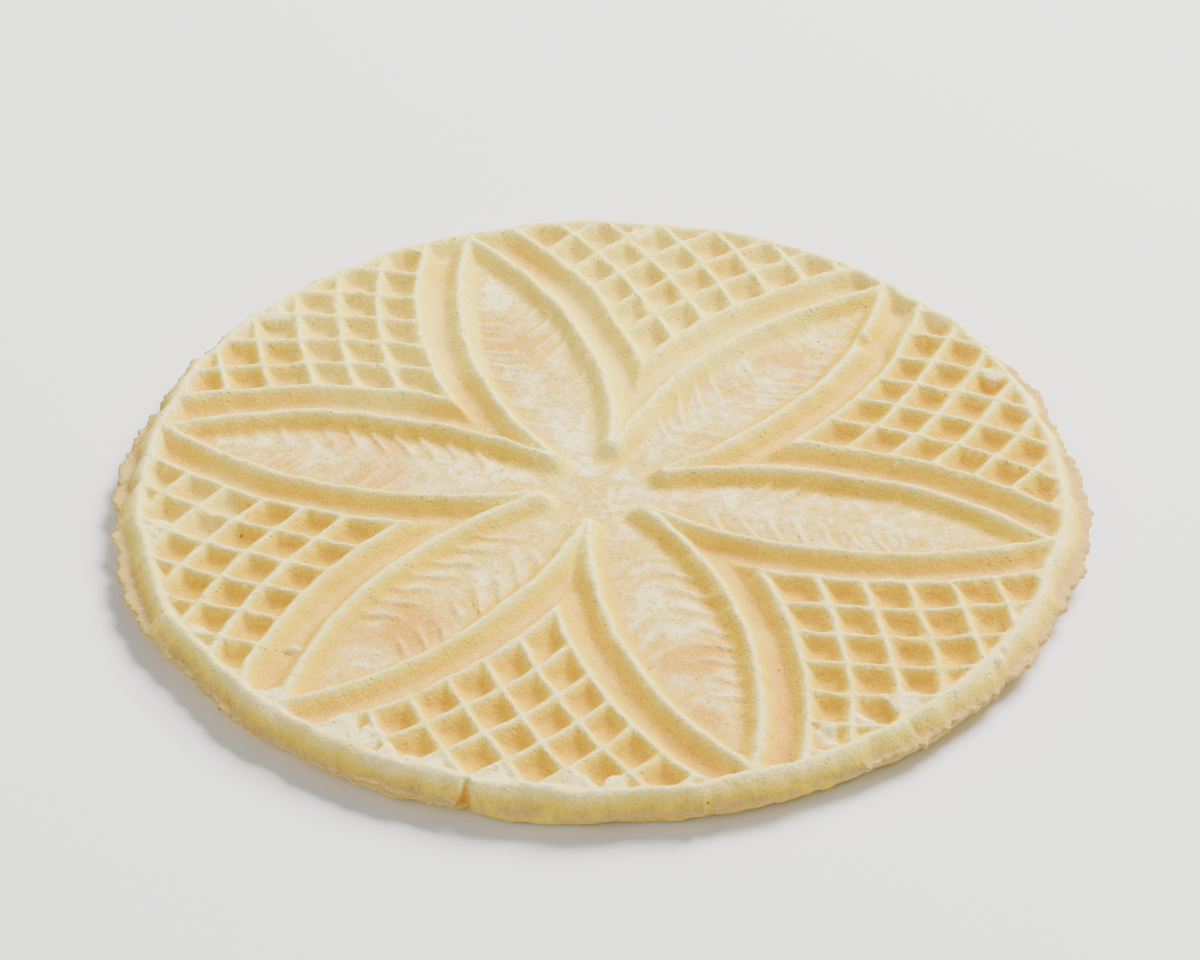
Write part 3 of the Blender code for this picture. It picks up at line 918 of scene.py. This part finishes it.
# ---------------------------------------------------------------- operators

class PIZZELLE_OT_cookie(bpy.types.Operator):
    """Sculpts the pressed wafer cookie and paints its masks"""

    bl_idname = "pizzelle.cookie"
    bl_label = "Build Cookie"

    def execute(self, context):
        shape = context.scene.pizzelle_shape
        points, triangles = cookie_geometry(shape)
        points[:, 2] += MIDDLE
        piece = mesh_from("wafer_cookie", points * MM, triangles)
        thinned_out(piece, shape.triangle_limit)
        paint_masks(piece, shape)
        piece.data.materials.clear()
        piece.data.materials.append(wafer_material(context.scene.pizzelle_colours))
        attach(piece, "root")
        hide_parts("wafer")
        return {"FINISHED"}


def add_softbox(name, direction, distance, size, power, colour, target):
    """A square area light that looks at the target from an azimuth and elevation in degrees."""
    azimuth, elevation = (math.radians(a) for a in direction)
    place = Vector((math.sin(azimuth) * math.cos(elevation), -math.cos(azimuth) * math.cos(elevation),
                    math.sin(elevation))) * distance + target
    light = bpy.data.lights.new(name, "AREA")
    light.shape = "SQUARE"
    light.size = size
    light.energy = power
    light.color = colour
    lamp = bpy.data.objects.new(name, light)
    bpy.context.scene.collection.objects.link(lamp)
    lamp.location = place
    lamp.rotation_euler = (target - place).to_track_quat("-Z", "Y").to_euler()
    return lamp


class PIZZELLE_OT_stage(bpy.types.Operator):
    """Sets up the floor, the soft lights and the camera"""

    bl_idname = "pizzelle.stage"
    bl_label = "Build Stage"

    def execute(self, context):
        studio = context.scene.pizzelle_studio
        hub = Vector((0.0, 0.0, THICKNESS * MM))
        mesh = bpy.data.meshes.new("studio_floor")
        half = FLOOR_HALF_SIZE
        mesh.from_pydata([(-half, -half, 0), (half, -half, 0), (half, half, 0), (-half, half, 0)], [], [(0, 1, 2, 3)])
        floor = bpy.data.objects.new("studio_floor", mesh)
        context.scene.collection.objects.link(floor)
        material, tree = new_material("Studio floor")
        shader = tree.nodes["Principled BSDF"]
        shader.inputs["Base Color"].default_value = (*studio.floor_colour, 1.0)
        shader.inputs["Roughness"].default_value = 0.9
        mesh.materials.append(material)

        world = bpy.data.worlds.new("Studio")
        world.use_nodes = True
        world.node_tree.nodes["Background"].inputs["Color"].default_value = (1.0, 1.0, 1.0, 1.0)
        world.node_tree.nodes["Background"].inputs["Strength"].default_value = WORLD_STRENGTH
        context.scene.world = world
        for softbox in SOFTBOXES:
            add_softbox(*softbox, hub)

        azimuth = studio.camera_azimuth
        elevation = studio.camera_elevation
        back = Vector((math.sin(azimuth) * math.cos(elevation), -math.cos(azimuth) * math.cos(elevation),
                       math.sin(elevation)))
        camera = bpy.data.objects.new("camera", bpy.data.cameras.new("camera"))
        context.scene.collection.objects.link(camera)
        camera.data.lens = studio.lens
        camera.data.sensor_width = 36.0
        camera.data.clip_start = 0.01
        camera.location = hub + back * studio.camera_distance
        camera.rotation_euler = (-back).to_track_quat("-Z", "Y").to_euler()
        context.scene.camera = camera
        return {"FINISHED"}


class PIZZELLE_PT_panel(bpy.types.Panel):
    """Shows the buttons that build the cookie and the stage in the sidebar"""

    bl_idname = "PIZZELLE_PT_panel"
    bl_label = "Pizzelle"
    bl_space_type = "VIEW_3D"
    bl_region_type = "UI"
    bl_category = "Pizzelle"

    def draw(self, context):
        layout = self.layout
        layout.operator("pizzelle.cookie")
        layout.operator("pizzelle.stage")


CLASSES = (WaferShape, WaferColours, StudioSettings, PIZZELLE_OT_cookie, PIZZELLE_OT_stage, PIZZELLE_PT_panel)


def register():
    for cls in CLASSES:
        bpy.utils.register_class(cls)
    bpy.types.Scene.pizzelle_shape = PointerProperty(type=WaferShape)
    bpy.types.Scene.pizzelle_colours = PointerProperty(type=WaferColours)
    bpy.types.Scene.pizzelle_studio = PointerProperty(type=StudioSettings)


def unregister():
    del bpy.types.Scene.pizzelle_shape
    del bpy.types.Scene.pizzelle_colours
    del bpy.types.Scene.pizzelle_studio
    for cls in reversed(CLASSES):
        bpy.utils.unregister_class(cls)


def main():
    register()
    bpy.ops.pizzelle.cookie()
    bpy.ops.pizzelle.stage()


if __name__ == "__main__":
    main()
